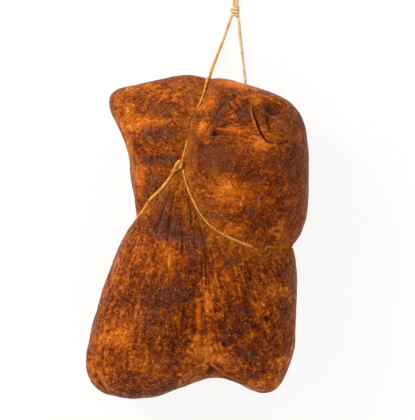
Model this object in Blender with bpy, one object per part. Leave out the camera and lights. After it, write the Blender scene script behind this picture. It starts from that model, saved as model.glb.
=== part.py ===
"""Cured sausage in a natural casing, tied like a parcel with twine and lying on its back.

The casing is one stuffed bag. A loop of twine round its waist is pulled up, front and back, by a strand that
runs over the top end, so the bag swells into a long lower lobe and two upper ones. Past the top end the two
strands lie on the table, meet in a knot and go on as a hanging loop.

Frame: +Z up, the front of the sausage faces +Z, its top end points to +Y, and the table is z = 0.
"""

import math

import bmesh
import bpy
import numpy as np
from mathutils import Vector
from mathutils.bvhtree import BVHTree

MM = 0.001

# The outline of the casing seen from above, in mm, anticlockwise from the right of the waist.
OUTLINE = [
    (77, -6), (82, 17), (84, 42), (83, 66), (79, 89), (66, 105), (46, 114.5), (22, 120.5), (-2, 122.5),
    (-26, 120), (-48, 115), (-62, 110), (-67, 100), (-60.5, 82), (-53.5, 66), (-50.5, 50), (-48.5, 34), (-48.5, 23),
    (-52, 13), (-56.5, 0), (-61, -14), (-66, -27), (-73, -48), (-80, -70), (-84, -90), (-82, -106), (-73, -117),
    (-57, -121.5),
    (-37, -121), (-18, -116), (-2, -110), (12, -106), (25, -109), (38, -115), (50, -118), (61, -112),
    (68, -98), (72, -79), (74, -56), (75, -32),
]
OUTLINE_SAMPLES = 512
OUTLINE_WAVES = 30  # harmonics kept of the outline, which smooths its corners
RIM_HEIGHT = 46 * MM  # the outline's height above the table
FRONT_RISE = 49 * MM  # from the outline up to the front
BACK_DROP = 47 * MM  # from the outline down to the back, before the table flattens it
FULLNESS = 2.7  # 2 is an ellipse across, and more is squarer

# Lobes: centre x, y and radius in mm, then how far the front and the back swell there, in mm.
LOBES = {
    "upper right": (40, 52, 34, 13, 8),
    "upper left": (-40, 84, 26, -5, 5),
    "lower left": (-38, -70, 38, 5, 8),
    "lower right": (40, -62, 34, 4, 6),
}

TWINE_DIAMETER = 2.2 * MM
TOUCH_GAP = 0.3 * MM  # left between pieces that touch
GROOVE_CLEARANCE = 0.4 * MM  # between the twine and the groove that it presses into the casing
CREASE_DEPTH = 8.5 * MM
CREASE_WIDTH = 8 * MM  # a crease fades by a factor of e over this distance
TWINE_LIFT = 1.0 * MM  # of the twine's centre above the bottom of its crease
ROUTE_STEP = 4.5 * MM  # between points along the twine on the casing
CREASE_STEP = 1.5 * MM
HITCH_RADIUS = 2.5 * MM

# Places on the casing, x and y in mm, each on its front, its outline or its back.
FRONT_HITCH = ("front", -13.7, 54.6)
BACK_HITCH = ("back", 20, 31)
WAIST_LEFT = [
    ("front", -18, 49.5), ("front", -26.5, 37.8), ("front", -34.3, 30.5), ("front", -41, 25), ("front", -47, 18.5),
    ("rim", -51.5, 13.5), ("back", -42, 10), ("back", -28, 14), ("back", -6, 23),
]
WAIST_RIGHT = [
    ("front", -10.8, 42), ("front", -7, 31.5), ("front", 0.5, 17), ("front", 10.5, 6), ("front", 24, -1.5),
    ("front", 39, -7), ("front", 56, -9.5), ("rim", 79, -7), ("back", 60, 0), ("back", 41, 18),
]
FRONT_STRAND = [("front", -10.6, 66), ("front", -7.2, 78), ("front", -2.4, 92), ("front", 4, 107), ("rim", 9, 122)]
BACK_STRAND = [("back", 26, 48), ("back", 33, 67), ("back", 39, 85)]
EXIT_CREASE_DEPTH = 3 * MM  # of the crease where a strand leaves the casing

# Folds of the casing itself: places, depth and width. A negative depth is a ridge.
FOLDS = {
    "down the lower lobe": ([("front", 5, -14), ("front", 5, -48), ("front", 8, -80), ("front", 12, -98)], 2.5, 12),
    "lip of the tucked end": ([("front", 48, 98), ("front", 48, 87), ("front", 52, 77), ("front", 60, 72)], -2.2, 3.5),
}
PIT = (57, 97)  # where the casing's end is tucked in
PIT_RADIUS = 6 * MM
PIT_DEPTH = 6 * MM

# Twine past the top end, in mm: from the end of a strand it drops to the table and runs to the knot.
FRONT_LEG = [(10.2, 126, 31), (11.8, 131, 18), (14, 137.5, 7.5), (16.8, 145.5, 2.3),
             (19.8, 153.5, 1.4), (22.8, 162, 1.5), (25.4, 169.4, 2.4)]
BACK_LEG = [(39.6, 94, 1.8), (38.6, 102, 1.4), (37.4, 112, 1.4), (35.9, 126, 1.4), (34.1, 142, 1.4),
            (32.4, 156, 1.5), (31, 169.4, 2.4)]
LEG_GAP = 0.8 * MM  # between a strand and its leg, which meet at a slight angle
KNOT_CENTRE = (28.6, 174, 2.9)
KNOT_SIZE = (6.4, 8, 5.4)
LOOP_SPACING = 2.6  # between the loop's two runs where they leave the knot
LOOP_TIP = (34, 224)  # the far end of the hanging loop
LOOP_EYE_RADIUS = 6

TABLE_SIZE = 400 * MM
BODY_CUTS = 48  # divisions along each edge of the cube that the casing starts from
BODY_KEEP = 0.14  # the share of the casing's triangles that is kept


def catmull_rom(points, closed, per_span=24):
    """A smooth line through the points, as an array with per_span points a span."""
    points = np.array(points, float)
    if closed:
        padded = np.concatenate([points[-1:], points, points[:2]])
    else:
        padded = np.concatenate([2 * points[:1] - points[1:2], points, 2 * points[-1:] - points[-2:-1]])
    t = np.linspace(0, 1, per_span, endpoint=False)[:, None]
    spans = []
    for before, start, end, after in zip(padded, padded[1:], padded[2:], padded[3:]):
        spans.append(0.5 * (
            2 * start + (end - before) * t
            + (2 * before - 5 * start + 4 * end - after) * t**2
            + (3 * start - before - 3 * end + after) * t**3
        ))
    if not closed:
        spans.append(points[-1:])
    return np.concatenate(spans)


def spaced(line, count):
    """The line again, with count points spread evenly along it."""
    along = np.concatenate([[0], np.cumsum(np.linalg.norm(np.diff(line, axis=0), axis=1))])
    places = np.linspace(0, along[-1], count)
    return np.stack([np.interp(places, along, line[:, axis]) for axis in range(line.shape[1])], axis=1)


def stepped(line, step):
    """The line again, with points about step apart."""
    length = np.linalg.norm(np.diff(line, axis=0), axis=1).sum()
    return spaced(line, max(2, math.ceil(length / step) + 1))


def outline_harmonics():
    """Orders and complex weights of the outline, which also say how its inside is filled."""
    ring = catmull_rom(OUTLINE, closed=True)
    ring = spaced(np.concatenate([ring, ring[:1]]), OUTLINE_SAMPLES + 1)[:-1] * MM
    weights = np.fft.fft(ring[:, 0] + 1j * ring[:, 1]) / OUTLINE_SAMPLES
    orders = np.fft.fftfreq(OUTLINE_SAMPLES, 1 / OUTLINE_SAMPLES)
    keep = np.abs(orders) <= OUTLINE_WAVES
    return orders[keep], weights[keep]


def stuffed_skin(directions):
    """The casing before it is tied: where each direction of a unit sphere goes."""
    across = np.hypot(directions[:, 0], directions[:, 1]).clip(0, 1)
    turn = np.arctan2(directions[:, 1], directions[:, 0])
    plan = np.zeros(len(directions), complex)
    for order, weight in zip(*outline_harmonics()):
        plan += weight * across ** abs(order) * np.exp(1j * order * turn)
    x, y = plan.real, plan.imag
    height = (1 - across**FULLNESS) ** (1 / FULLNESS)
    front = FRONT_RISE * height
    back = BACK_DROP * height
    for centre_x, centre_y, radius, front_swell, back_swell in LOBES.values():
        far = np.hypot(x - centre_x * MM, y - centre_y * MM) / (radius * MM)
        near = np.exp(-0.5 * far**2) * height
        front += front_swell * MM * near
        back += back_swell * MM * near
    z = RIM_HEIGHT + np.where(directions[:, 2] >= 0, front, -back)
    return np.stack([x, y, z], axis=1)


def stuffed_casing():
    """The casing before it is tied, as a bmesh: a gridded cube rounded to a ball, then shaped."""
    body = bmesh.new()
    bmesh.ops.create_cube(body, size=2)
    bmesh.ops.subdivide_edges(body, edges=body.edges[:], cuts=BODY_CUTS - 1, use_grid_fill=True)
    even = np.tan(np.array([vertex.co for vertex in body.verts]) * math.pi / 4)  # evens out the rounded squares
    directions = even / np.linalg.norm(even, axis=1, keepdims=True)
    for vertex, place in zip(body.verts, stuffed_skin(directions)):
        vertex.co = place
    body.normal_update()
    return body


class Skin:
    """Finds places on the untied casing."""

    def __init__(self, body):
        self.tree = BVHTree.FromBMesh(body)

    def place(self, side, x, y):
        """The point of the casing's front, back or outline at x and y, in mm."""
        at = Vector((x * MM, y * MM, RIM_HEIGHT))
        if side == "rim":
            return self.tree.find_nearest(at)[0]
        up = Vector((0, 0, 1 if side == "front" else -1))
        return self.tree.ray_cast(at + up, -up)[0]

    def route(self, places, step):
        """Points on the casing, about step apart, along a smooth line through the places, and the normals there."""
        line = stepped(catmull_rom([self.place(*place) for place in places], closed=False), step)
        found = [self.tree.find_nearest(Vector(point))[:2] for point in line]
        return np.array([f[0] for f in found]), np.array([f[1] for f in found])


LEGS = {"front_leg": ("front_strand", FRONT_LEG), "back_leg": ("back_strand", BACK_LEG)}
TWINE_ROUTES = {  # places, and the crease's depth where the route starts and ends
    "waist_twine_left": ([FRONT_HITCH, *WAIST_LEFT, BACK_HITCH], CREASE_DEPTH, CREASE_DEPTH),
    "waist_twine_right": ([FRONT_HITCH, *WAIST_RIGHT, BACK_HITCH], CREASE_DEPTH, CREASE_DEPTH),
    "front_strand": ([FRONT_HITCH, *FRONT_STRAND], CREASE_DEPTH, EXIT_CREASE_DEPTH),
    "back_strand": ([BACK_HITCH, *BACK_STRAND], CREASE_DEPTH, EXIT_CREASE_DEPTH),
}


def tie(body, skin):
    """Pulls the casing in along the twine, and gives it its folds and its tucked-in end."""
    places = np.array([vertex.co for vertex in body.verts])
    normals = np.array([vertex.normal for vertex in body.verts])
    pull = np.zeros(len(places))
    for route, first, last in TWINE_ROUTES.values():
        points, _ = skin.route(route, CREASE_STEP)
        for point, depth in zip(points, np.linspace(first, last, len(points))):
            away = np.linalg.norm(places - point, axis=1)
            pull = np.maximum(pull, depth * np.exp(-away / CREASE_WIDTH))
    for route, depth, width in FOLDS.values():
        points, _ = skin.route(route, CREASE_STEP)
        away = np.min([np.linalg.norm(places - point, axis=1) for point in points], axis=0)
        pull += depth * MM * np.exp(-(away / (width * MM)) ** 2)
    pit = np.array(skin.place("front", *PIT))
    away = np.linalg.norm(places - pit, axis=1)
    pull += PIT_DEPTH * np.exp(-(away / PIT_RADIUS) ** 2)
    for vertex, place in zip(body.verts, places - normals * pull[:, None]):
        vertex.co = place


def twine_line(skin, name):
    """The middle of a stretch of twine that lies in its crease."""
    route, first, last = TWINE_ROUTES[name]
    points, normals = skin.route(route, ROUTE_STEP)
    sunk = np.linspace(first, last, len(points)) - TWINE_LIFT
    line = points - normals * sunk[:, None]
    line[:, 2] = np.maximum(line[:, 2], HITCH_RADIUS + TOUCH_GAP)
    return line


def trimmed(line, centre, clear):
    """The line without its start, as far as it lies within clear of the centre."""
    fine = stepped(line, 0.1 * MM)
    start = fine[np.argmax(np.linalg.norm(fine - np.array(centre), axis=1) >= clear)]
    beyond = line[np.linalg.norm(line - np.array(centre), axis=1) > clear + TWINE_DIAMETER / 2]
    return np.vstack([start, beyond])


def material(name, colour, roughness):
    """A plain material of that colour."""
    made = bpy.data.materials.new(name)
    made.use_nodes = True
    shader = made.node_tree.nodes["Principled BSDF"]
    shader.inputs["Base Color"].default_value = (*colour, 1)
    shader.inputs["Roughness"].default_value = roughness
    shader.inputs["Metallic"].default_value = 0
    return made


def add_object(name, data, collection, finish=None):
    """A new object in the collection."""
    made = bpy.data.objects.new(name, data)
    if finish:
        data.materials.append(finish)
    collection.objects.link(made)
    return made


def tube(name, line, radius, collection, finish=None, roundness=1):
    """A round tube along the line, with filled ends."""
    data = bpy.data.curves.new(name, "CURVE")
    data.dimensions = "3D"
    data.bevel_depth = radius
    data.bevel_resolution = roundness
    data.use_fill_caps = True
    spline = data.splines.new("POLY")
    spline.points.add(len(line) - 1)
    for point, place in zip(spline.points, line):
        point.co = (*place, 1)
    return add_object(name, data, collection, finish)


def ball(name, centre, size, collection, finish=None):
    """A rounded knot of that size."""
    data = bpy.data.meshes.new(name)
    shape = bmesh.new()
    bmesh.ops.create_uvsphere(shape, u_segments=12, v_segments=8, radius=0.5)
    bmesh.ops.scale(shape, vec=size, verts=shape.verts)
    shape.to_mesh(data)
    shape.free()
    data.shade_smooth()
    made = add_object(name, data, collection, finish)
    made.location = centre
    return made


def as_mesh(curve):
    """The curve object made a mesh object, with its caps welded."""
    graph = bpy.context.evaluated_depsgraph_get()
    data = bpy.data.meshes.new_from_object(curve.evaluated_get(graph))
    shape = bmesh.new()
    shape.from_mesh(data)
    bmesh.ops.remove_doubles(shape, verts=shape.verts, dist=0.01 * MM)
    shape.to_mesh(data)
    shape.free()
    made = bpy.data.objects.new(curve.name, data)
    made.matrix_world = curve.matrix_world
    curve.users_collection[0].objects.link(made)
    bpy.data.objects.remove(curve)
    return made


def table_block(collection):
    """A block whose top is the table, which flattens the lobes that rest on it."""
    data = bpy.data.meshes.new("table")
    shape = bmesh.new()
    bmesh.ops.create_cube(shape, size=TABLE_SIZE)
    shape.to_mesh(data)
    shape.free()
    made = add_object("table", data, collection)
    made.location.z = -TABLE_SIZE / 2
    return made


def cut(target, cutter):
    """Cuts the cutter's shape out of the target."""
    cutter.hide_render = True
    cutter.display_type = "WIRE"
    boolean = target.modifiers.new(cutter.name, "BOOLEAN")
    boolean.operation = "DIFFERENCE"
    boolean.solver = "EXACT"
    boolean.object = cutter


def leg_line(strand, places):
    """The twine from the end of a strand through the places."""
    line = catmull_rom([strand[-2], strand[-1], *np.array(places) * MM], closed=False)
    past_strand = line[np.argmin(np.linalg.norm(line - strand[-1], axis=1)):]
    return trimmed(stepped(past_strand, ROUTE_STEP), strand[-1], LEG_GAP)


def hanging_loop_line():
    """The loop past the knot: out along one run, round the eye at its far end and back along the other."""
    knot = np.array(KNOT_CENTRE)
    tip = np.array([*LOOP_TIP, TWINE_DIAMETER / MM / 2 + 0.3])
    start = knot + np.array([0, KNOT_SIZE[1] / 2 + 0.4, -0.6])
    side = np.array([LOOP_SPACING / 2, 0, 0])
    eye = tip - np.array([0, LOOP_EYE_RADIUS, 0])
    right = [start + side, start + (eye - start) * 0.45 + side * 1.1, eye + (LOOP_EYE_RADIUS * 0.9, -8, 0)]
    left = [start - side, start + (eye - start) * 0.45 - side * 1.1, eye + (-LOOP_EYE_RADIUS * 0.9, -8, 0)]
    arc = []
    for angle in np.radians([0, 45, 90, 135, 180]):
        arc.append(eye + LOOP_EYE_RADIUS * np.array([math.cos(angle), math.sin(angle), 0]))
    return catmull_rom([*right, *arc, *left[::-1]], closed=False) * MM


def build():
    for old in list(bpy.data.objects):
        bpy.data.objects.remove(old)
    pieces = bpy.data.collections.new("cured_sausage")
    cutters = bpy.data.collections.new("cutters")
    bpy.context.scene.collection.children.link(pieces)
    bpy.context.scene.collection.children.link(cutters)

    casing_finish = material("casing", (0.27, 0.065, 0.012), 0.5)
    twine_finish = material("twine", (0.75, 0.45, 0.17), 0.9)

    body = stuffed_casing()
    skin = Skin(body)
    tie(body, skin)
    data = bpy.data.meshes.new("sausage")
    body.to_mesh(data)
    body.free()
    data.shade_smooth()
    sausage = add_object("sausage", data, pieces, casing_finish)
    fewer = sausage.modifiers.new("fewer faces", "DECIMATE")
    fewer.ratio = BODY_KEEP

    hitches = {
        "front_hitch": twine_line(skin, "front_strand")[0],
        "back_hitch": twine_line(skin, "back_strand")[0],
    }
    for name, centre in hitches.items():
        size = 2 * HITCH_RADIUS
        ball(name, centre, (size,) * 3, pieces, twine_finish)
        room = size + 2 * GROOVE_CLEARANCE
        cut(sausage, ball(f"room_for_{name}", centre, (room,) * 3, cutters))
    cut(sausage, table_block(cutters))
    for name in TWINE_ROUTES:
        line = twine_line(skin, name)
        cut(sausage, as_mesh(tube(f"groove_for_{name}", line, TWINE_DIAMETER / 2 + GROOVE_CLEARANCE, cutters)))
        for centre in hitches.values():
            if np.linalg.norm(line[-1] - centre) < HITCH_RADIUS:
                line = trimmed(line[::-1], centre, HITCH_RADIUS + TOUCH_GAP)[::-1]
            if np.linalg.norm(line[0] - centre) < HITCH_RADIUS:
                line = trimmed(line, centre, HITCH_RADIUS + TOUCH_GAP)
        tube(name, line, TWINE_DIAMETER / 2, pieces, twine_finish)

    for name, (strand, places) in LEGS.items():
        line = leg_line(twine_line(skin, strand), places)
        cut(sausage, as_mesh(tube(f"groove_for_{name}", line, TWINE_DIAMETER / 2 + GROOVE_CLEARANCE, cutters)))
        tube(name, line, TWINE_DIAMETER / 2, pieces, twine_finish, 2)
    tube("hanging_loop", stepped(hanging_loop_line(), ROUTE_STEP), TWINE_DIAMETER / 2, pieces, twine_finish, 2)
    ball("hanging_knot", np.array(KNOT_CENTRE) * MM, np.array(KNOT_SIZE) * MM, pieces, twine_finish)


build()
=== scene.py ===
import math
import random

import bmesh
import bpy
import numpy as np
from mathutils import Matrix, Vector, noise
from mathutils.bvhtree import BVHTree


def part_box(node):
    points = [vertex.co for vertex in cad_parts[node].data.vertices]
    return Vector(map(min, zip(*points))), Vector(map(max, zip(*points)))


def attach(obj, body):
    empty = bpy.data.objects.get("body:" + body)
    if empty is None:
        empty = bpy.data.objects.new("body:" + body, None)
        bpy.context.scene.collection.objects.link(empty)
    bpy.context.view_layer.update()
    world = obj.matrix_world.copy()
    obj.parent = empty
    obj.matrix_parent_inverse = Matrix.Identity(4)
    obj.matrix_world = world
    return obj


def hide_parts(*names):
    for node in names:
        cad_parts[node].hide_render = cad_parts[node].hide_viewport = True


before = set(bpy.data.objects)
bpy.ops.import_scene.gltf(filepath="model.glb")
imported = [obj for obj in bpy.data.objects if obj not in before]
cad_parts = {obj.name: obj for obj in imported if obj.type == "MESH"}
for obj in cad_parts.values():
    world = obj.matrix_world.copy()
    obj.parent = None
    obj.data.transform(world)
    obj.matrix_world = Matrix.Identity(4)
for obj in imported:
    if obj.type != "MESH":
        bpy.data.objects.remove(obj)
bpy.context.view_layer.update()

mm = 0.001
bodyLow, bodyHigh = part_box("sausage")
print("frame loaded, sausage", [round((b - a) / mm, 1) for a, b in zip(bodyLow, bodyHigh)], "mm")


# lines and distances

def smoothLine(points, closed=False, perSpan=24):  # Catmull-Rom through the points
    points = np.array(points, float)
    if closed:
        padded = np.concatenate([points[-1:], points, points[:2]])
    else:
        padded = np.concatenate([2 * points[:1] - points[1:2], points, 2 * points[-1:] - points[-2:-1]])
    t = np.linspace(0, 1, perSpan, endpoint=False)[:, None]
    spans = []
    for before, start, end, after in zip(padded, padded[1:], padded[2:], padded[3:]):
        bend = 2 * before - 5 * start + 4 * end - after
        twist = 3 * start - before - 3 * end + after
        spans.append(start + 0.5 * ((end - before) * t + bend * t**2 + twist * t**3))
    if not closed:
        spans.append(points[-1:])
    return np.concatenate(spans)


def lengthOf(line):
    return np.linalg.norm(np.diff(line, axis=0), axis=1).sum()


def evenly(line, step):  # the line again, with points about step apart
    along = np.concatenate([[0], np.cumsum(np.linalg.norm(np.diff(line, axis=0), axis=1))])
    spots = np.linspace(0, along[-1], max(2, math.ceil(along[-1] / step) + 1))
    return np.stack([np.interp(spots, along, line[:, axis]) for axis in range(line.shape[1])], axis=1)


def nearest(places, points, reach):  # which point is nearest to each place, and how far, within reach
    which = np.zeros(len(places), int)
    away = np.full(len(places), np.inf)
    box = np.all((places > points.min(axis=0) - reach) & (places < points.max(axis=0) + reach), axis=1)
    for part in np.array_split(np.nonzero(box)[0], max(1, box.sum() // 8000)):
        if len(part):
            gaps = np.linalg.norm(places[part, None] - points[None], axis=2)
            which[part] = gaps.argmin(axis=1)
            away[part] = gaps.min(axis=1)
    return which, away


# the casing: an outline filled by harmonics, domed front and back, with lobes

casing = {
    "outline": [  # mm, anticlockwise from the right of the waist
        (77, -6), (82, 17), (84, 42), (83, 66), (79, 86), (72, 97), (61.6, 105), (45, 112), (24, 118), (4, 120.8),
        (-10, 120.6), (-27, 118), (-48, 113.8), (-62, 109), (-66.6, 99.5), (-59.3, 82), (-52, 66), (-50.3, 50),
        (-48.5, 34), (-48.2, 23), (-52, 13), (-56.5, 0), (-61, -14), (-65.5, -27), (-73, -48), (-80, -70), (-84, -90),
        (-82, -106), (-73, -117), (-57, -121.5), (-37, -121), (-18, -116), (-2, -110), (12, -106), (25, -109),
        (36, -113.8), (45, -117.3), (54, -116.8), (61.6, -111.3), (66.3, -102.3), (69.4, -93), (71.7, -84), (74, -56),
        (75, -32),
    ],
    "samples": 512,
    "waves": 30,
    "rimHeight": 46 * mm,
    "frontRise": 49 * mm,
    "backDrop": 47 * mm,
    "fullness": 2.7,
    "lobes": {  # centre x, y, radius, swell of the front and of the back, all in mm
        "upperRight": (40, 52, 34, 13, 8),
        "upperLeft": (-40, 84, 26, -5, 5),
        "lowerLeft": (-38, -70, 38, 5, 8),
        "lowerRight": (40, -62, 34, 4, 6),
    },
    "coarseCuts": 48,
    "cuts": 124,
    "fineCuts": 2,  # where the skin is folded, each edge is cut into one more than this
    "fineReach": 5 * mm,
    "restSoftness": 1.0 * mm,  # how gently the back turns into its flat patch
}


def outlineHarmonics():
    ring = smoothLine(casing["outline"], closed=True)
    ring = np.concatenate([ring, ring[:1]])
    ring = evenly(ring, lengthOf(ring) / (casing["samples"] - 0.5))[:-1] * mm
    weights = np.fft.fft(ring[:, 0] + 1j * ring[:, 1]) / len(ring)
    orders = np.fft.fftfreq(len(ring), 1 / len(ring))
    keep = np.abs(orders) <= casing["waves"]
    return orders[keep], weights[keep]


def stuffedSkin(directions):  # where each direction of a unit sphere goes, before tying
    across = np.hypot(directions[:, 0], directions[:, 1]).clip(0, 1)
    turn = np.arctan2(directions[:, 1], directions[:, 0])
    plan = np.zeros(len(directions), complex)
    for order, weight in zip(*outlineHarmonics()):
        plan += weight * across ** abs(order) * np.exp(1j * order * turn)
    x, y = plan.real, plan.imag
    height = (1 - across ** casing["fullness"]) ** (1 / casing["fullness"])
    front = casing["frontRise"] * height
    back = casing["backDrop"] * height
    for centreX, centreY, radius, frontSwell, backSwell in casing["lobes"].values():
        near = np.exp(-0.5 * (np.hypot(x - centreX * mm, y - centreY * mm) / (radius * mm)) ** 2) * height
        front += frontSwell * mm * near
        back += backSwell * mm * near
    return np.stack([x, y, casing["rimHeight"] + np.where(directions[:, 2] >= 0, front, -back)], axis=1)


def directionsOf(body):  # the cube's points, spread evenly over a ball
    even = np.tan(np.array([vertex.co for vertex in body.verts]) * math.pi / 4)
    return even / np.linalg.norm(even, axis=1, keepdims=True)


def stuffedCasing(cuts, fineLines=None):  # a gridded cube, finer near some lines, rounded to a ball and shaped
    body = bmesh.new()
    bmesh.ops.create_cube(body, size=2)
    bmesh.ops.subdivide_edges(body, edges=body.edges[:], cuts=cuts - 1, use_grid_fill=True)
    if fineLines is not None:
        away = nearest(stuffedSkin(directionsOf(body)), fineLines, casing["fineReach"])[1]
        close = away < casing["fineReach"]
        edges = [edge for edge in body.edges if close[edge.verts[0].index] and close[edge.verts[1].index]]
        bmesh.ops.subdivide_edges(body, edges=edges, cuts=casing["fineCuts"], use_grid_fill=True)
    for vertex, place in zip(body.verts, stuffedSkin(directionsOf(body))):
        vertex.co = place
    body.normal_update()
    return body


smooth = stuffedCasing(casing["coarseCuts"])  # an untied casing, to place the twine on
skinTree = BVHTree.FromBMesh(smooth)
smooth.free()


def onSkin(side, x, y):
    at = Vector((x * mm, y * mm, casing["rimHeight"]))
    if side == "rim":
        return skinTree.find_nearest(at)[0]
    up = Vector((0, 0, 1 if side == "front" else -1))
    return skinTree.ray_cast(at + up, -up)[0]


def skinRoute(places, step):  # a line along the skin through the places, with the normals there
    line = evenly(smoothLine([onSkin(*place) for place in places]), step)
    found = [skinTree.find_nearest(Vector(point))[:2] for point in line]
    return np.array([f[0] for f in found]), np.array([f[1] for f in found])


# the tie: where the twine runs and how deep it cuts in

tie = {
    "diameter": 2.2 * mm,
    "creaseDepth": 8.5 * mm,
    "creaseWidth": 8 * mm,
    "lift": 1.0 * mm,  # of the twine's middle above the bottom of its crease
    "exitDepth": 3 * mm,
    "twineStep": 4.5 * mm,
    "creaseStep": 1.5 * mm,
    "furthest": 150 * mm,  # from a route, for a place to be shaped by it
    "sideBlend": 1.5 * mm,  # over which one side of a crease turns into the other
    "steepness": 0.985,
    "stainReach": 5.5 * mm,
    "lowest": 2.8 * mm,
}
frontHitch = ("front", -13.7, 54.6)
backHitch = ("back", 20, 31)
waistLeft = [
    ("front", -18, 49.5), ("front", -26.5, 37.8), ("front", -34.3, 30.5), ("front", -41, 25), ("front", -47, 18.5),
    ("rim", -51.5, 13.5), ("back", -42, 10), ("back", -28, 14), ("back", -6, 23),
]
waistRight = [
    ("front", -10.8, 42), ("front", -7, 31.5), ("front", 0.5, 17), ("front", 10.5, 6), ("front", 24, -1.5),
    ("front", 39, -7), ("front", 56, -9.5), ("rim", 79, -7), ("back", 60, 0), ("back", 41, 18),
]
frontStrand = [("front", -10.6, 66), ("front", -7.2, 78), ("front", -2.4, 92), ("front", 4, 107), ("rim", 9, 122)]
backStrand = [("back", 26, 48), ("back", 33, 67), ("back", 39, 85)]
deep, shallow = tie["creaseDepth"], tie["exitDepth"]
tieRoutes = {  # places, depth at the start and at the end, and how far the crease reaches to its left and its right
    "waist_twine_left": ([frontHitch, *waistLeft, backHitch], deep, deep, 34 * mm, 28 * mm),
    "waist_twine_right": ([frontHitch, *waistRight, backHitch], deep, deep, 24 * mm, 34 * mm),
    "front_strand": ([frontHitch, *frontStrand], deep, shallow, 30 * mm, 16 * mm),
    "back_strand": ([backHitch, *backStrand], deep, shallow, 30 * mm, 30 * mm),
}


def twineLine(name, raised=0.0):
    places, first, last = tieRoutes[name][:3]
    points, normals = skinRoute(places, tie["twineStep"])
    line = points - normals * (np.linspace(first, last, len(points)) - tie["lift"] - raised)[:, None]
    line[:, 2] = np.maximum(line[:, 2], tie["lowest"])
    return line


twineLines = {name: twineLine(name) for name in tieRoutes}
print("twine laid out,", round(sum(lengthOf(line) for line in twineLines.values()) / mm), "mm on the sausage")


# folds in the front of the casing: kind, places, height (a crease is below 0) and width, all in mm
# a crease is sharp and darkened with painted shade, a ridge's top is paler with a painted highlight, and a bulge
# keeps the skin's colour

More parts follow.
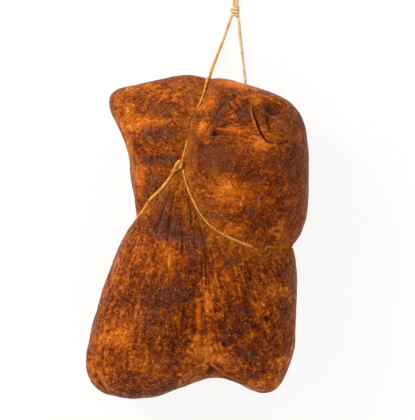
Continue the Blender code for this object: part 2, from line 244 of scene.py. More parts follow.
folds = {
    "lobeSeam": ("bulge", [(5, -12), (5, -48), (8, -80), (12, -100)], -1.7, 11),
    "tuckedLip": (
        "ridge", [(39, 97), (38.4, 92), (39.1, 86.5), (41.5, 80.5), (44, 75), (46.5, 71.3), (49, 68.6)], 1.9, 1.0,
    ),
    "tuckedCrease": (
        "crease", [(41.4, 87), (43.2, 80.5), (45.6, 75.3), (48.2, 71.7), (51.5, 69.2), (56, 67.4)], -3.0, 0.9,
    ),
    "tuckedTail": ("crease", [(54, 68.4), (60.6, 67.6), (68, 69.7)], -1.1, 1.0),
    "innerCrease": ("crease", [(50, 91), (50.4, 87), (50.9, 83), (51.8, 79), (54, 75)], -2.0, 2.2),
    "bandEdge": ("crease", [(0.5, 84), (-1.2, 76), (-3.4, 65), (-5, 54), (-5.2, 45)], -1.3, 1.5),
    "lobeLip": ("bulge", [(4, 84), (2.4, 74), (0.6, 63), (-0.8, 52), (0, 42)], 1.0, 3.0),
    "innerLip": ("ridge", [(43.6, 94.5), (43.6, 91), (44, 87.5)], 1.0, 0.8),
    "innerFlap": ("bulge", [(44.5, 96), (45, 89), (47, 82), (50, 75)], 2.0, 2.8),
    "farFlap": ("bulge", [(57, 87), (58.5, 79), (62, 73)], 1.6, 5),
    "collar": ("bulge", [(30, 97), (36, 99.8), (42, 102), (48, 102.6), (53, 101.4)], 2.4, 2.3),
    "collarBack": ("bulge", [(60, 102), (64.5, 97), (64, 90), (60, 86)], 1.2, 2.4),
    "spotKnob": ("bulge", [(2, 79.8), (4.5, 78.7), (7, 77.6)], 1.7, 3.2),
    "spotHollow": ("bulge", [(10.5, 75.6), (12.5, 74.4), (15, 73.4)], -2.2, 2.5),
    "spotFold": ("crease", [(9, 76.4), (13, 75.2), (20, 74.2), (28, 73.6)], -2.0, 1.1),
    "spotRidge": ("ridge", [(9, 78.4), (14, 77.6), (21, 76.4), (29, 75.4)], 1.1, 1.2),
    "darkValley": ("crease", [(21, 99.5), (14.5, 91), (11, 82.6)], -1.3, 3.6),
    "shoulderFold": ("crease", [(33, 92), (27, 90), (20, 86)], -0.8, 1.6),
    "fanA": ("crease", [(-15.8, 44), (-23, 27), (-29, 8.6), (-32.5, -10)], -1.1, 1.6),
    "fanB": ("crease", [(-13.6, 42), (-18, 27), (-21, 8.6), (-22.3, -13)], -1.2, 1.6),
    "fanC": ("crease", [(-11.4, 40), (-12.2, 23), (-11.4, 5), (-10, -18)], -1.0, 1.8),
    "fanD": ("crease", [(-9.3, 35), (-6.3, 19.5), (-2.7, 1.3), (0.2, -18)], -1.0, 1.8),
    "fanE": ("crease", [(-7.8, 29), (-1.3, 13.7), (4.6, -2.3), (6.2, -18), (6.2, -34)], -1.1, 1.2),
    "seamLine": ("ridge", [(4.6, -8), (4.9, -22), (5, -40)], 0.9, 0.7),
    "seamTwin": ("crease", [(4.2, -40), (4, -54), (3.6, -70)], -0.9, 1.1),
    "leftStreakA": ("crease", [(-33, 0), (-41, -28), (-48, -56), (-51, -82)], -0.6, 1.8),
    "leftStreakB": ("crease", [(-42, 8), (-52, -22), (-61, -54), (-66, -84)], -0.7, 1.6),
    "leftStreakC": ("crease", [(-36, -60), (-39, -76), (-41, -92)], -0.6, 1.5),
    "leftRim": ("crease", [(-77, -84), (-77.3, -94), (-74.5, -105), (-69, -113.5)], -1.2, 1.4),
    "notchRidge": ("ridge", [(4, -85), (7, -89.5), (14, -95.3), (21.5, -101), (30.4, -106), (40, -110)], 1.7, 1.4),
    "notchCrease": ("crease", [(3, -88), (9, -95), (17, -101), (26, -106)], -1.2, 1.6),
    "rightWrinkleA": ("crease", [(28, -90), (42, -91.5), (58, -90)], -0.6, 1.2),
    "rightWrinkleB": ("crease", [(34, -97), (46, -99), (60, -97)], -0.6, 1.2),
    "leftArch": ("crease", [(-38, 53.5), (-31.5, 57.4), (-24, 57.8), (-18, 55.5)], -1.1, 1.5),
    "leftWrinkleA": ("crease", [(-30, 88.5), (-22, 87.5), (-12, 88)], -0.8, 1.6),
    "leftWrinkleB": ("crease", [(-36, 74), (-28, 75.4), (-19, 73.9)], -0.8, 1.6),
    "leftWrinkleC": ("crease", [(-46, 66), (-36, 65), (-24, 66.5)], -0.6, 1.4),
    "leftWrinkleD": ("crease", [(-43, 44), (-36, 45.5), (-30, 44)], -0.7, 1.4),
}
pit = {"at": (55.8, 96.2), "radius": 8.2 * mm, "depth": 6.5 * mm, "squareness": 4, "shade": 0.6}
foldGain = 1.35
seat = {"depth": 0.7 * mm, "reach": 2.6 * mm}  # the groove that the twine has pressed for itself
covered = {  # where the casing closes over the twine: places along the front, height and width in mm
    "overTheStrand": ([(-9, 70), (-7, 79), (-4.2, 88), (-0.6, 98.5)], 3.3, 3.6),
    "overTheWaist": ([(37, -6), (46, -8.4), (56, -9.4), (66, -9.2), (75, -8.2)], 2.9, 2.8),
}
puckers = {  # small folds that run into the twine
    "height": 0.7 * mm,
    "every": 5.5 * mm,
    "reach": 6 * mm,
    "start": 0.6,  # where they are highest, as a share of their reach
    "sharpness": 4,
    "wander": 3,
    "wanderRate": 0.37,
}
lumps = [  # size and height in mm, and a shift that sets the pattern
    (42, 1.3, 3.1),
    (17, 0.6, 7.7),
    (7, 0.28, 11.3),
    (3.2, 0.12, 17.9),
]
fan = {  # the casing's grain runs out from the apex below the waist, and across above it; in mm
    "apex": (-8, 78),
    "radius": 80,
    "heightShare": 0.4,
    "upperTilt": 0.15,
    "upperShift": 300,
    "upperStreaks": 0.4,
}


def alongFront(spots, step):
    return skinRoute([("front", x, y) for x, y in spots], step)[0]


def foldShape(places, kind, spots, height, width):
    points = alongFront(spots, 0.8 * mm)
    which, away = nearest(places, points, 5 * width * mm)
    fade = np.sin(np.linspace(0, math.pi, len(points))).clip(0, 1)[which] ** 0.6
    shape = np.exp(-away / (width * mm)) if kind == "crease" else np.exp(-(away / (width * mm)) ** 2)
    return foldGain * height * mm * fade * shape


def shapeSkin(places):  # how far the skin rises at each place, and the marks that the finish reads
    rise = np.zeros(len(places))
    pull = np.zeros(len(places))
    twineAway = np.full(len(places), np.inf)
    waistAway = np.full(len(places), np.inf)
    below = np.zeros(len(places))
    for name, (route, first, last, leftReach, rightReach) in tieRoutes.items():
        points, up = skinRoute(route, tie["creaseStep"])
        ahead = np.gradient(points, axis=0)
        ahead /= np.linalg.norm(ahead, axis=1, keepdims=True)
        which, away = nearest(places, points, tie["furthest"])
        side = np.einsum("ij,ij->i", places - points[which], np.cross(up, ahead)[which])
        share = 1 / (1 + np.exp(-side / tie["sideBlend"]))
        width = rightReach + (leftReach - rightReach) * share
        depth = np.linspace(first, last, len(points))[which]
        slope = (1 - away / width).clip(0, 1)
        shoulder = 1 - np.sqrt(1 - tie["steepness"] * slope**2)  # round, and steep at the twine
        pull = np.maximum(pull, depth * shoulder)
        wander = puckers["wander"] * np.sin(which * puckers["wanderRate"])
        beat = np.sin(2 * math.pi * which * tie["creaseStep"] / puckers["every"] + wander)
        band = np.exp(-((away / puckers["reach"]) - puckers["start"]) ** 2 * puckers["sharpness"])
        rise -= puckers["height"] * (0.5 - 0.5 * beat) * band
        if name.startswith("waist"):
            lower = side > 0 if name.endswith("left") else side < 0
            below = np.where(away < waistAway, lower, below)
            waistAway = np.minimum(waistAway, away)
        twineAway = np.minimum(twineAway, away)
    rise -= pull + seat["depth"] * np.exp(-(twineAway / seat["reach"]) ** 2)
    # the fold mark: above 0 on ridges, for a painted highlight, and below 0 in creases and the pit, for painted shade
    foldLightAndShade = np.zeros(len(places))
    for kind, spots, height, width in folds.values():
        shape = foldShape(places, kind, spots, height, width)
        rise += shape
        if kind != "bulge":
            foldLightAndShade += shape / mm
    for spots, height, width in covered.values():
        rise += foldShape(places, "ridge", spots, height, width)
    away = np.linalg.norm(places - np.array(onSkin("front", *pit["at"])), axis=1)
    hole = np.exp(-(away / pit["radius"]) ** pit["squareness"])
    rise -= pit["depth"] * hole
    foldLightAndShade -= pit["shade"] * hole
    for size, height, seed in lumps:
        shift = Vector((seed, -seed, 2 * seed))
        rise += height * mm * np.array([noise.noise(Vector(place) / (size * mm) + shift) for place in places])
    x, y, z = places.T / mm
    away = np.hypot(x - fan["apex"][0], y - fan["apex"][1])
    around = np.arctan2(x - fan["apex"][0], fan["apex"][1] - y) * fan["radius"]
    lowerGrain = np.stack([around, away, fan["heightShare"] * z], axis=1)
    upperGrain = np.stack([y + fan["upperTilt"] * x, x, fan["heightShare"] * z], axis=1) + fan["upperShift"]
    grain = np.where(below[:, None] > 0.5, lowerGrain, upperGrain)
    streaky = np.where(below > 0.5, 1, fan["upperStreaks"])
    twineNear = np.exp(-twineAway / tie["stainReach"])
    marks = {"fold": foldLightAndShade, "twineNear": twineNear, "grain": grain, "streaky": streaky, "pit": hole}
    marks.update(blotchMarks(places))
    return rise, marks


# stains on the front of the casing, and in the plum list one band of painted shade along a fold: middle, half width,
# half height in mm, tilt in degrees and strength

blotches = {
    "orange": [
        (-19, -14, 6, 8, 0, 0.9), (-32, -3, 4, 4, 0, 0.6), (-46, -54, 5, 4, 0, 0.7),
        (-60, -74, 11, 7, 10, 1.0), (0.6, -58, 1.3, 10, 0, 1.9), (8, -48, 2.4, 6.5, 0, 1.8),
        (1.5, -84, 7, 6, 0, 1.0), (16, -89, 10, 4, -25, 0.9), (49, -108, 11, 3.4, 8, 0.9),
        (54, -36, 9, 6, 0, 0.7), (-44, -92, 10, 7, 0, 0.4), (-18, -94, 10, 6, 0, 0.4),
        (45, -54, 4, 4, 0, 0.7), (-48, 84.5, 10, 4.5, -8, 1.2), (-29, 84, 8, 3, -5, 0.8),
        (4.5, 78.7, 3.6, 3.4, 0, 2.6), (45.5, 100.8, 7, 2.2, 4, 2.6), (29, 112.5, 10, 2.6, -12, 1.9),
        (45.5, 67.6, 5, 3.6, -20, 2.0), (18, 35, 6, 5, 0, 1.0), (32, 29, 15, 7, 0, 0.8),
        (-43, 44, 4, 9, 0, 0.9), (21, 6.5, 9, 4, -20, 0.8), (57, 5, 5, 5, 0, 0.6),
        (-32, 49.5, 6, 2.4, 0, 0.8), (7, 97, 6, 7, 35, 0.8), (25, 77, 7, 2, 5, 1.3),
        (-54, 96, 6, 4, 0, 0.5),
    ],
    "amber": [
        (-58, 100, 9, 9, 0, 1.2), (-34, 110, 20, 4.5, 0, 0.8), (-52, 60, 5, 16, 0, 0.6),
        (-4, 88, 3.4, 13, -16, 0.9), (2, 109, 8, 8, -20, 1.0), (12, 4, 6, 7, 40, 0.9),
        (32, -8, 16, 3.2, -14, 0.6), (60, -9, 9, 3.0, 0, 0.3), (-30, 33, 14, 2.4, 42, 0.9),
        (18, 100, 8, 8, 0, 0.5), (60, 70, 9, 12, 0, 0.5), (-64, -86, 12, 14, 0, 0.4),
        (16, 28, 10, 10, 0, 0.4), (-8, 60, 2.4, 8, -10, 0.9), (50, -112, 12, 4, 8, 0.6),
        (-6, -100, 14, 6, -20, 0.5),
    ],
    "bare": [
        (-4.6, 70, 2.0, 11, -13, 1.3), (-6.6, 53, 1.8, 8, -6, 1.0), (-27, 92.5, 8, 3, -5, 0.6),
        (22, 62, 7, 5, 10, 0.5), (14, 48, 5, 9, 20, 0.5), (-54, 24, 2.5, 14, 0, 0.5),
        (62, 82, 7, 8, 0, 0.5),
    ],
    "plum": [
        (-17, 1, 13, 4, 0, 1.3), (-28, 9, 3, 7, -28, 1.4), (-17, 9, 1.8, 6, -5, 1.8), (2, -1, 6, 6, 0, 0.9),
        (-48, -7.5, 4, 4, 0, 0.6), (-29, -44, 11, 8, 0, 0.9), (-37, -63, 7, 6, 0, 0.9),
        (-2.5, -15, 4, 8, 0, 0.8), (23, -18, 4, 3, 0, 0.8), (32.5, -54, 5, 4, 0, 0.8),
        (63, -54, 5, 6, 0, 0.8), (21, -70, 4, 3, 0, 0.9), (34, -65, 4, 3, 0, 0.7), (-27, -88, 4, 3, 0, 0.8),
        (-11, -39, 6, 6, 0, 0.7), (39, -86, 10, 4.5, 0, 0.7), (-57, -102, 5, 4, 0, 0.6),
        (-27, 94, 10, 4, -5, 1.0), (-28, 75.5, 8, 3, 0, 1.9), (-30, 55.5, 9, 2.6, 4, 1.8),
        # the second spot on the next line, at (15.5, 91), is painted shade along the dark valley fold; the rest of
        # the plum list is stains
        (-33, 39, 4, 5.5, -15, 2.0), (15.5, 91, 2.6, 9, -30, 2.4), (12, 59, 9, 7, 0, 1.3),
        (41, 42, 4.5, 3, 0, 0.9), (31.5, 49.5, 5, 1.8, 0, 0.8), (37, 18, 4, 3, 0, 0.9),
        (12, 17, 6, 5, 0, 0.7), (-27, 26, 5, 10, -25, 0.8), (-0.5, 104, 5, 3, 0, 0.9),
        (68, 54, 5, 20, 0, 0.5), (34, 88, 3.4, 5, 0, 1.8), (-44, 104, 8, 3, 15, 0.4),
    ],
}


def blotchMarks(places):
    x, y, z = places.T / mm
    faceUp = 1 / (1 + np.exp(-(z - 50) / 5))
    sums = {}
    for name, spots in blotches.items():
        total = np.zeros(len(places))
        for middleX, middleY, halfWidth, halfHeight, tilt, strength in spots:
            cos, sin = math.cos(math.radians(tilt)), math.sin(math.radians(tilt))
            across = ((x - middleX) * cos + (y - middleY) * sin) / halfWidth
            up = ((y - middleY) * cos - (x - middleX) * sin) / halfHeight
            total += strength * np.exp(-0.5 * (across**2 + up**2))
        sums[name] = total * faceUp
    return sums


def makeCasing():
    folded = [alongFront(fold[1], casing["fineReach"] / 2) for fold in folds.values()]
    tied = [skinRoute(route[0], casing["fineReach"] / 2)[0] for route in tieRoutes.values()]
    body = stuffedCasing(casing["cuts"], np.concatenate(folded + tied))
    places = np.array([vertex.co for vertex in body.verts])
    normals = np.array([vertex.normal for vertex in body.verts])
    rise, marks = shapeSkin(places)
    places = places + normals * rise[:, None]
    soft = casing["restSoftness"]
    places[:, 2] = 0.5 * (places[:, 2] + np.sqrt(places[:, 2] ** 2 + soft**2))
    for vertex, place in zip(body.verts, places):
        vertex.co = place
    data = bpy.data.meshes.new("casing")
    body.to_mesh(data)
    tree = BVHTree.FromBMesh(body)
    body.free()
    data.shade_smooth()
    for name, values in marks.items():
        isVector = values.ndim == 2
        layer = data.attributes.new(name, "FLOAT_VECTOR" if isVector else "FLOAT", "POINT")
        layer.data.foreach_set("vector" if isVector else "value", np.asarray(values, np.float32).ravel())
    made = bpy.data.objects.new("casing", data)
    bpy.context.scene.collection.objects.link(made)
    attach(made, "root")
    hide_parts("sausage")
    return made, tree


# shader maths

class Value:  # a socket that can be reckoned with
    def __init__(self, tree, socket):
        self.tree = tree
        self.socket = socket

    def maths(self, operation, first, second):
        node = self.tree.nodes.new("ShaderNodeMath")
        node.operation = operation
        for socket, given in zip(node.inputs, (first, second)):
            if isinstance(given, Value):
                self.tree.links.new(given.socket, socket)
            else:
                socket.default_value = given
        return Value(self.tree, node.outputs[0])

    def __add__(self, other):
        return self.maths("ADD", self, other)

    def __radd__(self, other):
        return self.maths("ADD", other, self)

    def __sub__(self, other):
        return self.maths("SUBTRACT", self, other)

    def __rsub__(self, other):
        return self.maths("SUBTRACT", other, self)

    def __mul__(self, other):
        return self.maths("MULTIPLY", self, other)

    def __rmul__(self, other):
        return self.maths("MULTIPLY", other, self)


class Finish:  # a material under construction
    def __init__(self, name):
        self.material = bpy.data.materials.new(name)
        self.material.use_nodes = True
        self.tree = self.material.node_tree
        self.tree.nodes.clear()

    def add(self, kind, settings=None, out=0, **inputs):  # any node: its settings, then its sockets
        node = self.tree.nodes.new(kind)
        for name, setting in (settings or {}).items():
            if name == "stops":
                self.setStops(node, setting)
            else:
                setattr(node, name, setting)
        for name, given in inputs.items():
            socket = node.inputs[int(name[2:])] if name.startswith("in") else node.inputs[name.replace("_", " ")]
            if isinstance(given, Value):
                self.tree.links.new(given.socket, socket)
            else:
                socket.default_value = given
        return Value(self.tree, node.outputs[out]) if node.outputs else None

    def setStops(self, node, stops):
        ramp = node.color_ramp
        for index, (position, colour) in enumerate(stops):
            stop = ramp.elements[index] if index < 2 else ramp.elements.new(position)
            stop.position = position
            stop.color = (*colour, 1)

    def attribute(self, name):
        return self.add("ShaderNodeAttribute", {"attribute_name": name}, out=2)

    def place(self):
        return self.add("ShaderNodeTexCoord", out=3)

    def noise(self, size, detail=2, roughness=0.5, distortion=0.0, shift=0.0):  # size in mm
        scale = (1 / (size * mm),) * 3
        moved = self.add("ShaderNodeMapping", in0=self.place(), in1=(shift, -shift, 2 * shift), in3=scale)
        return self.add(
            "ShaderNodeTexNoise", in0=moved, Scale=1.0, Detail=detail, Roughness=roughness, Distortion=distortion
        )

    def grainNoise(self, size, detail=2, roughness=0.5, shift=0.0):  # noise drawn out along the casing's grain
        grain = self.add("ShaderNodeAttribute", {"attribute_name": "grain"}, out=1)
        scale = (1 / size[0], 1 / size[1], 1 / size[0])
        moved = self.add("ShaderNodeMapping", in0=grain, in1=(shift, -shift, 2 * shift), in3=scale)
        return self.add("ShaderNodeTexNoise", in0=moved, Scale=1.0, Detail=detail, Roughness=roughness)

    def mix(self, share, first, second):  # two colours
        return self.add("ShaderNodeMix", {"data_type": "RGBA"}, out=2, in0=share, in6=first, in7=second)

    def ramp(self, value, stops):
        return self.add("ShaderNodeValToRGB", {"stops": stops}, in0=value)

    def between(self, value, low, high):  # 0 below low, 1 above high, smooth between
        settings = {"interpolation_type": "SMOOTHSTEP"}
        return self.add("ShaderNodeMapRange", settings, Value=value, From_Min=low, From_Max=high)

    def finish(self, **inputs):
        shader = self.add("ShaderNodeBsdfPrincipled", **inputs)
        self.add("ShaderNodeOutputMaterial", Surface=shader)
        return self.material


def colour(red, green, blue):  # a display colour, 0 to 255, as the linear one that nodes use
    shares = (red / 255, green / 255, blue / 255)
    return tuple(c / 12.92 if c <= 0.04045 else ((c + 0.055) / 1.055) ** 2.4 for c in shares)


def solid(red, green, blue):
    return (*colour(red, green, blue), 1)


skinTone = {
    "plain": 0.415,
    "large": 0.75,  # how much each kind of mottling changes the plain tone
    "middle": 0.9,
    "fine": 0.85,
    "grains": 0.5,
    "wisps": 1.3,
    "streaks": 0.95,
    "lines": 0.7,
}
skinColours = {  # as displayed, 0 to 255
    "plum": (92, 44, 34),
    "grey": (116, 74, 54),
    "ochre": (178, 104, 14),
    "orange": (212, 98, 14),
    "twineDust": (198, 114, 28),
    # painted highlight on ridge tops
    "crestHighlight": (226, 122, 72),
    # painted shade, for creases and the pit
    "hollowShade": (52, 12, 2),
    # painted shade in the fine wrinkles
    "shadedWrinkle": (70, 22, 4),
    "bare": (140, 72, 22),
    "dots": (52, 14, 0),
    "flecks": (236, 150, 70),
    # painted shade in the pit
    "pit": (62, 38, 20),
    "sheen": (255, 226, 196),
}
skinBump = 0.9 * mm


def casingFinish():
    skin = Finish("cured casing")
    large = skin.noise(30, detail=3, roughness=0.55, distortion=0.5)
    middle = skin.noise(9, detail=5, roughness=0.65, distortion=0.8, shift=5.3)
    fine = skin.noise(2.4, detail=4, roughness=0.75, distortion=0.3, shift=9.1)
    speck = skin.noise(1.1, detail=2, roughness=0.6, shift=13.7)
    streak = skin.grainNoise((2.0, 14), detail=4, roughness=0.65, shift=4.4)
    orange, amber = skin.attribute("orange"), skin.attribute("amber")
    plum, bare = skin.attribute("plum"), skin.attribute("bare")
    lines = skin.grainNoise((1.1, 15), detail=3, roughness=0.6, shift=8.8)
    grains = skin.noise(0.75, detail=1, roughness=0.6, shift=71.0)
    streaky = skin.attribute("streaky")
    wisp = skin.noise(8, detail=4, roughness=0.55, distortion=2.4, shift=97.0)
    gritty = skin.between(skin.noise(24, detail=2, shift=91.0) + amber * 0.08, 0.42, 0.6)
    grit = 0.5 + gritty * 0.75
    sand = (fine - 0.5) * skinTone["fine"] + (grains - 0.5) * skinTone["grains"]
    drawnOut = (streak - 0.5) * skinTone["streaks"] + (lines - 0.5) * skinTone["lines"]
    tone = skinTone["plain"] + (large - 0.5) * skinTone["large"] + (middle - 0.5) * skinTone["middle"] + sand * grit
    tone = tone + (wisp - 0.5) * (skinTone["wisps"] - gritty * 0.7) + drawnOut * streaky
    tone = tone + orange * (middle * 0.6 - 0.1) - plum * (middle * 0.5 - 0.08) + amber * 0.05
    base = skin.ramp(tone, [
        (0.0, colour(50, 10, 0)),
        (1.0, colour(236, 150, 70)),
        (0.25, colour(88, 29, 0)),
        (0.45, colour(129, 52, 2)),
        (0.6, colour(165, 76, 7)),
        (0.76, colour(202, 108, 20)),
    ])
    plumNoise = skin.noise(8, detail=4, roughness=0.6, distortion=2.2, shift=21.0) + plum * 0.2
    # plum stains, and painted shade along one fold
    base = skin.mix(skin.between(plumNoise, 0.56, 0.69) * 0.62, base, solid(*skinColours["plum"]))
    greyNoise = skin.noise(6, detail=4, roughness=0.65, distortion=2.0, shift=27.0) + plum * 0.08
    base = skin.mix(skin.between(greyNoise, 0.57, 0.68) * 0.42, base, solid(*skinColours["grey"]))
    ochreNoise = skin.noise(5, detail=5, roughness=0.8, distortion=0.6, shift=33.0) + amber * 0.07
    base = skin.mix(skin.between(ochreNoise, 0.55, 0.66) * 0.5, base, solid(*skinColours["ochre"]))
    redNoise = skin.noise(5, detail=4, roughness=0.8, distortion=0.6, shift=41.0) + orange * 0.16
    base = skin.mix(skin.between(redNoise, 0.56, 0.72) * 0.5, base, solid(*skinColours["orange"]))
    nearTwine = skin.attribute("twineNear") * skin.between(skin.noise(1.4, detail=3, shift=61.0), 0.4, 0.55)
    base = skin.mix(nearTwine * 0.55, base, solid(*skinColours["twineDust"]))
    fold = skin.attribute("fold")
    # painted highlight on ridge tops
    base = skin.mix(skin.between(fold, 0.5, 2.4) * 0.5, base, solid(*skinColours["crestHighlight"]))
    # painted shade in creases and the pit
    base = skin.mix(skin.between(0.0 - fold, 0.15, 2.4) * 0.8, base, solid(*skinColours["hollowShade"]))
    wave = skin.noise(6.5, detail=3, roughness=0.62, distortion=1.1, shift=83.0) - 0.5
    shadedWrinkle = 1 - skin.between(wave * wave, 0.0, 0.0011)  # thin wavy wrinkles where the skin has dried, pressed in by the bump and darkened with painted shade
    # darker in the wrinkles: painted shade
    base = skin.mix(shadedWrinkle * skin.between(middle, 0.4, 0.6) * 0.5, base, solid(*skinColours["shadedWrinkle"]))
    base = skin.mix(bare * 0.6, base, solid(*skinColours["bare"]))
    dots = skin.between(speck, 0.58, 0.68)
    base = skin.mix(dots * grit * 0.5, base, solid(*skinColours["dots"]))
    flecks = skin.between(skin.grainNoise((0.8, 1.7), detail=3, roughness=0.7, shift=51.0), 0.6, 0.72)
    base = skin.mix(flecks * grit * 0.8, base, solid(*skinColours["flecks"]))
    # painted shade in the pit
    base = skin.mix(skin.attribute("pit") * 0.85, base, solid(*skinColours["pit"]))
    rough = 0.5 + (fine - 0.5) * 0.3
    height = middle * 0.2 + fine * 0.5 + speck * 0.35 + streak * 0.5 - shadedWrinkle * 0.18
    normal = skin.add("ShaderNodeBump", Strength=1.0, Distance=skinBump, Height=height)
    return skin.finish(
        Base_Color=base, Roughness=rough, Normal=normal, Specular_IOR_Level=0.04, Sheen_Weight=0.1,
        Sheen_Roughness=0.35, Sheen_Tint=solid(*skinColours["sheen"]),
    )


# twine

twine = {
    "plies": 3,
    "plyRadius": 0.68 * mm,
    "plyOffset": 0.56 * mm,
    "layLength": 7 * mm,  # along the twine for one turn of a ply
    "sides": 18,
    "step": 0.7 * mm,
    "uneven": 0.14,  # how much thicker and thinner it gets
    "unevenEvery": 6 * mm,
    "raised": 0.5 * mm,  # above the line that the CAD solid follows
}


def aheadOf(line):
    ahead = np.gradient(line, axis=0)
    return ahead / np.linalg.norm(ahead, axis=1, keepdims=True)


def twistedTube(line, stains, swells=(1, 1)):  # a plied twine; stains and swells run from its start to its end
    line = evenly(smoothLine(line, perSpan=8), twine["step"])
    share = np.linspace(0, 1, len(line))
    stain = np.interp(share, np.linspace(0, 1, len(stains)), stains)
    swell = np.interp(share, np.linspace(0, 1, len(swells)), swells)
    ahead = aheadOf(line)
    across = np.cross(ahead[0], (0.3, 0.2, 1.0))
    offset, ply = twine["plyOffset"], twine["plyRadius"]
    data = bmesh.new()
    shade = data.verts.layers.float.new("stain")
    grooveShade = data.verts.layers.float.new("grooveShade")
    rings = []
    for index, (point, along) in enumerate(zip(line, ahead)):
        across = across - along * np.dot(across, along)
        across /= np.linalg.norm(across)
        other = np.cross(along, across)
        turned = index * twine["step"] / twine["layLength"] * 2 * math.pi
        size = swell[index] * (1 + twine["uneven"] * noise.noise(Vector(point) / twine["unevenEvery"]))
        ring = []
        for corner in range(twine["sides"]):
            angle = 2 * math.pi * corner / twine["sides"]
            inPly = (angle - turned) % (2 * math.pi / twine["plies"]) - math.pi / twine["plies"]
            radius = offset * math.cos(inPly) + math.sqrt(ply**2 - (offset * math.sin(inPly)) ** 2)
            spoke = across * math.cos(angle) + other * math.sin(angle)
            vertex = data.verts.new(point + size * radius * spoke)
            vertex[shade] = stain[index]
            # how far into the groove between the plies: used for painted shade
            vertex[grooveShade] = 1 - (radius / (offset + ply) - 0.6) / 0.4
            ring.append(vertex)
        rings.append(ring)
    for ring, following in zip(rings, rings[1:]):
        for corner in range(twine["sides"]):
            after = (corner + 1) % twine["sides"]
            data.faces.new((ring[corner], ring[after], following[after], following[corner]))
    data.faces.new(rings[0][::-1])
    data.faces.new(rings[-1])
    mesh = bpy.data.meshes.new("twine")
    data.to_mesh(mesh)
    data.free()
    mesh.shade_smooth()
    return mesh


def twineFinish():
    cotton = Finish("twine")
    fibres = cotton.noise(0.5, detail=3, roughness=0.7, shift=2.0)
    shade = fibres * 0.6 + cotton.noise(7, detail=2, shift=6.0) * 0.8 - 0.2
    clean = cotton.ramp(shade, [(0.25, colour(206, 170, 108)), (0.75, colour(255, 240, 190))])
    dyed = cotton.ramp(shade, [(0.25, colour(198, 116, 30)), (0.75, colour(250, 184, 86))])
    stain = cotton.attribute("stain")
    base = cotton.mix(stain, clean, dyed)
    soaked = cotton.between(stain * 0.3 + cotton.noise(4, detail=3, roughness=0.65, shift=23.0), 0.8, 1.0)
    base = cotton.mix(soaked * 0.55, base, solid(186, 96, 22))
    dirt = cotton.between(cotton.noise(3.2, detail=3, roughness=0.6, shift=17.0), 0.57, 0.66)
    base = cotton.mix(dirt * 0.6, base, solid(120, 86, 46))
    # painted shade in the grooves between the plies
    base = cotton.mix(cotton.attribute("grooveShade") * 0.45, base, solid(128, 74, 30))
    normal = cotton.add("ShaderNodeBump", Strength=0.6, Distance=0.2 * mm, Height=fibres)
    return cotton.finish(Base_Color=base, Roughness=0.85, Normal=normal, Specular_IOR_Level=0.2)


def addTwine(name, mesh, finish, *nodes):
    made = bpy.data.objects.new(name, mesh)
    bpy.context.scene.collection.objects.link(made)
    mesh.materials.append(finish)
    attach(made, "root")
    if nodes:
        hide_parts(*nodes)
    return made


# camera, lamps and floor

viewpoint = {"at": (0.0071, 0.0195, 1.30), "lens": 142.86, "furthest": 20}
floorLook = {"size": 8, "drop": 0.0002, "colour": (250, 250, 250), "glowColour": (255, 254, 252), "glow": 0.9}
worldStrength = 0.4
lamps = {  # place, size and power
    "key lamp": ((-0.85, 0.65, 0.95), 0.4, 15),
    "left box": ((-1.2, 0.0, 0.35), 0.8, 5),
    "right box": ((1.2, 0.1, 0.35), 0.8, 4.2),
    "top box": ((0.1, 1.3, 0.4), 0.8, 5.5),
    "bottom box": ((0.0, -1.3, 0.4), 0.8, 6.5),
}


def makeCamera():
    lens = bpy.data.cameras.new("camera")
    lens.lens = viewpoint["lens"]
    lens.clip_end = viewpoint["furthest"]
    made = bpy.data.objects.new("camera", lens)
    made.location = viewpoint["at"]
    bpy.context.scene.collection.objects.link(made)
    bpy.context.scene.camera = made


def makeFloor():
    bpy.ops.mesh.primitive_plane_add(size=floorLook["size"], location=(0, 0, -floorLook["drop"]))
    floor = bpy.context.object
    floor.name = "floor"
    white = Finish("white floor")
    lit = white.add("ShaderNodeBsdfDiffuse", Color=solid(*floorLook["colour"]))
    glow = white.add("ShaderNodeEmission", Color=solid(*floorLook["glowColour"]), Strength=1.0)
    seen = white.add("ShaderNodeLightPath", out="Is Camera Ray")
    seen = seen + white.add("ShaderNodeLightPath", out="Is Glossy Ray")
    seen = seen + white.add("ShaderNodeLightPath", out="Is Transmission Ray")
    blended = white.add("ShaderNodeMixShader", in0=seen * floorLook["glow"], in1=lit, in2=glow)
    white.add("ShaderNodeOutputMaterial", Surface=blended)
    floor.data.materials.append(white.material)


def makeLight():
    world = bpy.data.worlds.new("studio")
    bpy.context.scene.world = world
    world.use_nodes = True
    sky = world.node_tree.nodes["Background"]
    sky.inputs["Color"].default_value = (1, 1, 1, 1)
    sky.inputs["Strength"].default_value = worldStrength
    for name, (place, size, power) in lamps.items():
        lamp = bpy.data.lights.new(name, "AREA")
        lamp.size = size
        lamp.energy = power
        made = bpy.data.objects.new(name, lamp)
        made.location = place
        made.rotation_euler = (-Vector(place)).to_track_quat("-Z", "Y").to_euler()
        bpy.context.scene.collection.objects.link(made)
    bpy.context.scene.view_settings.view_transform = "Standard"


makeCamera()
makeFloor()
makeLight()

# the free twine: from the front strand down to the knot, round the hanging loop and back to the back strand

knot = {  # mm
    "centre": (28.6, 174, 2.9),
    "length": 8,
    "turns": 3,
    "pitch": 2.4,
    "wide": 2.5,
    "high": 1.5,
    "perTurn": 14,
}
loop = {
    "spacing": 2.3,
    "tip": (34, 224),
    "eyeRadius": 6,
    "widening": 1.1,  # of its two sides, halfway
    "shoulders": (0.9, 8),  # how wide it is before its eye, in eye radii, and how far before, in mm
    "step": 2 * mm,
}
frontLeg = [
    (10.2, 126, 31), (11.8, 131, 18), (14, 137.5, 7.5), (16.8, 145.5, 2.3), (19.8, 153.5, 1.4), (22.8, 162, 1.5),
    (25.4, 169.4, 2.4),
]
backLeg = [
    (39.6, 94, 1.8), (38.6, 102, 1.4), (37.4, 112, 1.4), (35.9, 126, 1.4), (34.1, 142, 1.4), (32.4, 156, 1.5),
    (31, 169.4, 2.4),
]


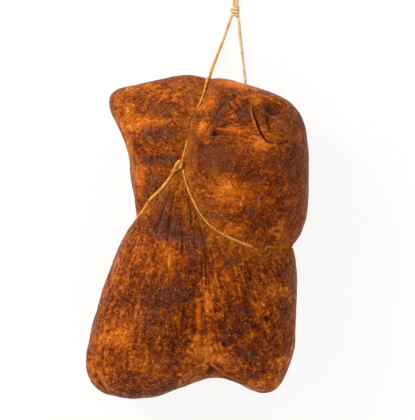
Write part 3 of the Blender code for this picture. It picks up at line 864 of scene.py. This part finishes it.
def hangingLoop():
    centre = np.array(knot["centre"])
    tip = np.array([*loop["tip"], tie["diameter"] / mm / 2 + 0.3])
    start = centre + np.array([0, knot["length"] / 2 + 0.4, -0.6])
    side = np.array([loop["spacing"] / 2, 0, 0])
    radius = loop["eyeRadius"]
    eye = tip - np.array([0, radius, 0])
    halfway = start + (eye - start) * 0.45
    wide, before = loop["shoulders"]
    right = [start + side, halfway + side * loop["widening"], eye + (radius * wide, -before, 0)]
    left = [start - side, halfway - side * loop["widening"], eye + (-radius * wide, -before, 0)]
    arc = [eye + radius * np.array([math.cos(a), math.sin(a), 0]) for a in np.radians([0, 45, 90, 135, 180])]
    return [*right, *arc, *left[::-1]]


leaves, returns = (twineLines[name][-1] / mm for name in ("front_strand", "back_strand"))
cordPoints = [leaves, *frontLeg, *hangingLoop(), *backLeg[::-1], returns]
cordLine = evenly(smoothLine(cordPoints) * mm, loop["step"])

finishTwine = twineFinish()
body, bodyTree = makeCasing()
body.data.materials.append(casingFinish())
print("casing made,", len(body.data.polygons), "faces")

drawn = {name: twineLine(name, twine["raised"]) for name in tieRoutes}
swollen = {  # how thick the twine has stayed, along each stretch
    "waist_twine_left": [1.15, 1.25, 1.1, 0.95, 0.85, 0.9, 1, 1],
    "waist_twine_right": [0.7, 0.72, 0.85, 1.2, 1.3, 0.9, 0.8, 0.9, 1, 1],
    "front_strand": [0.9, 0.8, 0.7, 0.75, 0.85, 0.95],
    "back_strand": [1, 0.9, 0.9, 1],
}
boundDye = [1.25, 1.1, 1.3]  # how dyed each stretch on the sausage is, from its start to its end
for name, line in drawn.items():
    addTwine(name + "_twisted", twistedTube(line, boundDye, swollen[name]), finishTwine, name)

# how dyed the free twine is, from where it leaves the front to where it goes under the back
dye = [1.0, 1.0, 0.95, 0.9, 0.5, 0.05, 0, 0, 0, 0, 0, 0, 0.35, 0.3, 0, 0, 0.05, 0, 0.1, 0.5, 0.9]
freeTwine = twistedTube(cordLine, dye)
cord = addTwine("hanging_twine", freeTwine, finishTwine, "front_leg", "back_leg", "hanging_loop")

# each hitch doubles a branch of the waist twine and goes round its own little eye: x, y and height in mm
hitchPath = [
    (-9.3, -15.1, 0.8), (-6.3, -11.6, 1.1), (-4.2, -8.2, 1.6), (-3.0, -5.2, 2.2), (-1.6, -2.0, 2.8), (0.8, 0.4, 3.0),
    (2.2, -0.8, 3.0), (1.6, -3.2, 2.4), (-0.4, -4.8, 2.0), (-2.8, -6.4, 2.6), (-5.4, -7.6, 1.4),
]


def hitchLine(side, atX, atY):
    up = 1 if side == "front" else -1
    line = []
    for x, y, height in hitchPath:
        start = Vector(((atX + up * x) * mm, (atY + y) * mm, casing["rimHeight"] + up))
        line.append(np.array(bodyTree.ray_cast(start, Vector((0, 0, -up)))[0]) + (0, 0, up * height * mm))
        line[-1][2] = max(line[-1][2], tie["lowest"])
    return np.array(line)


def knotLine():  # the twine's end, wound round both strands of the loop
    turns = knot["turns"]
    around = np.linspace(0, 2 * math.pi * turns, knot["perTurn"] * turns)
    along = knot["pitch"] * (around / (2 * math.pi) - turns / 2)
    wound = np.stack([knot["wide"] * np.cos(around), along, knot["high"] * np.sin(around)], axis=1)
    return (np.array(knot["centre"]) + wound) * mm


frontTied = twistedTube(hitchLine(*frontHitch), [1.2, 1.2], [1, 1.15])
addTwine("front_hitch_tied", frontTied, finishTwine, "front_hitch")
backTied = twistedTube(hitchLine(*backHitch), [1, 1])
addTwine("back_hitch_tied", backTied, finishTwine, "back_hitch")
freeTied = twistedTube(knotLine(), [0, 0.15, 0])
knotTied = addTwine("hanging_knot_tied", freeTied, finishTwine, "hanging_knot")

fibres = {
    "bound": {"every": 1.1 * mm, "longest": 4.5 * mm, "stain": 1.0},  # on the sausage
    "free": {"every": 5 * mm, "longest": 1.8 * mm, "stain": 0.1},  # on the two free ends
    "shortest": 1.2 * mm,
    "radius": 0.11 * mm,
    "spread": (0.6, 1.4),  # of the radius
    "root": 0.6 * mm,  # from the twine's middle
    "flatness": 0.2,  # of those low on the sausage
    "bend": 0.35,
    "taper": 0.7,
    "whiskerRadius": 0.24 * mm,
    "whiskerStain": 0.7,
    "lowest": 0.8 * mm,
    "seed": 41,
    "whiskers": [  # thicker ends of twine that stick out: x, y, lean in x and y, length in mm
        (49, -9.5, 0.1, 0.9, 3.4), (38.5, -6.6, 0.9, 0.5, 2.6), (51, -7.2, 0.9, 0.2, 3), (20, 3.5, 0.5, 0.8, 3),
    ],
}


def addFibre(data, shade, root, lean, length, radius, stain):  # a thin, bent, pointed hair of three sides
    lean = Vector(lean).normalized()
    droop = Vector((lean.y, -lean.x, -0.4)) * fibres["bend"]
    side = lean.orthogonal().normalized()
    other = lean.cross(side)
    rings = []
    for share in (0, 0.35, 0.7, 1):
        middle = Vector(root) + lean * length * share + droop * length * share**2
        ring = []
        for corner in range(3):
            angle = 2 * math.pi * corner / 3
            spoke = side * math.cos(angle) + other * math.sin(angle)
            ring.append(data.verts.new(middle + spoke * radius * (1 - fibres["taper"] * share)))
            ring[-1][shade] = stain
        rings.append(ring)
    for ring, following in zip(rings, rings[1:]):
        for corner in range(3):
            after = (corner + 1) % 3
            data.faces.new((ring[corner], ring[after], following[after], following[corner]))
    data.faces.new(rings[0][::-1])
    data.faces.new(rings[-1])


def fibreMesh(lines, kind, whiskers=()):
    dice = random.Random(fibres["seed"])
    data = bmesh.new()
    shade = data.verts.layers.float.new("stain")
    for line in lines:
        line = evenly(line, kind["every"])
        for point, along in zip(line, aheadOf(line)):
            out = Vector([dice.gauss(0, 1) for axis in range(3)])
            out.z = abs(out.z) if point[2] > casing["rimHeight"] else fibres["flatness"] * out.z
            out = (out - Vector(along) * out.dot(Vector(along)) * 0.6).normalized()
            length = dice.uniform(fibres["shortest"], kind["longest"])
            root = Vector(point) + out * fibres["root"]
            if root.z + out.z * length > fibres["lowest"]:
                radius = fibres["radius"] * dice.uniform(*fibres["spread"])
                addFibre(data, shade, root, out, length, radius, kind["stain"])
    for x, y, leanX, leanY, length in whiskers:
        root = bodyTree.ray_cast(Vector((x * mm, y * mm, 1)), Vector((0, 0, -1)))[0]
        lean = (leanX, leanY, 0.5)
        addFibre(data, shade, root, lean, length * mm, fibres["whiskerRadius"], fibres["whiskerStain"])
    mesh = bpy.data.meshes.new("fibres")
    data.to_mesh(mesh)
    data.free()
    return mesh


boundFibres = fibreMesh(drawn.values(), fibres["bound"], fibres["whiskers"])
addTwine("bound_fibres", boundFibres, finishTwine)
legs = [np.array(leg) * mm for leg in (frontLeg, backLeg)]
freeFibres = addTwine("free_fibres", fibreMesh(legs, fibres["free"]), finishTwine)
print("twine made")
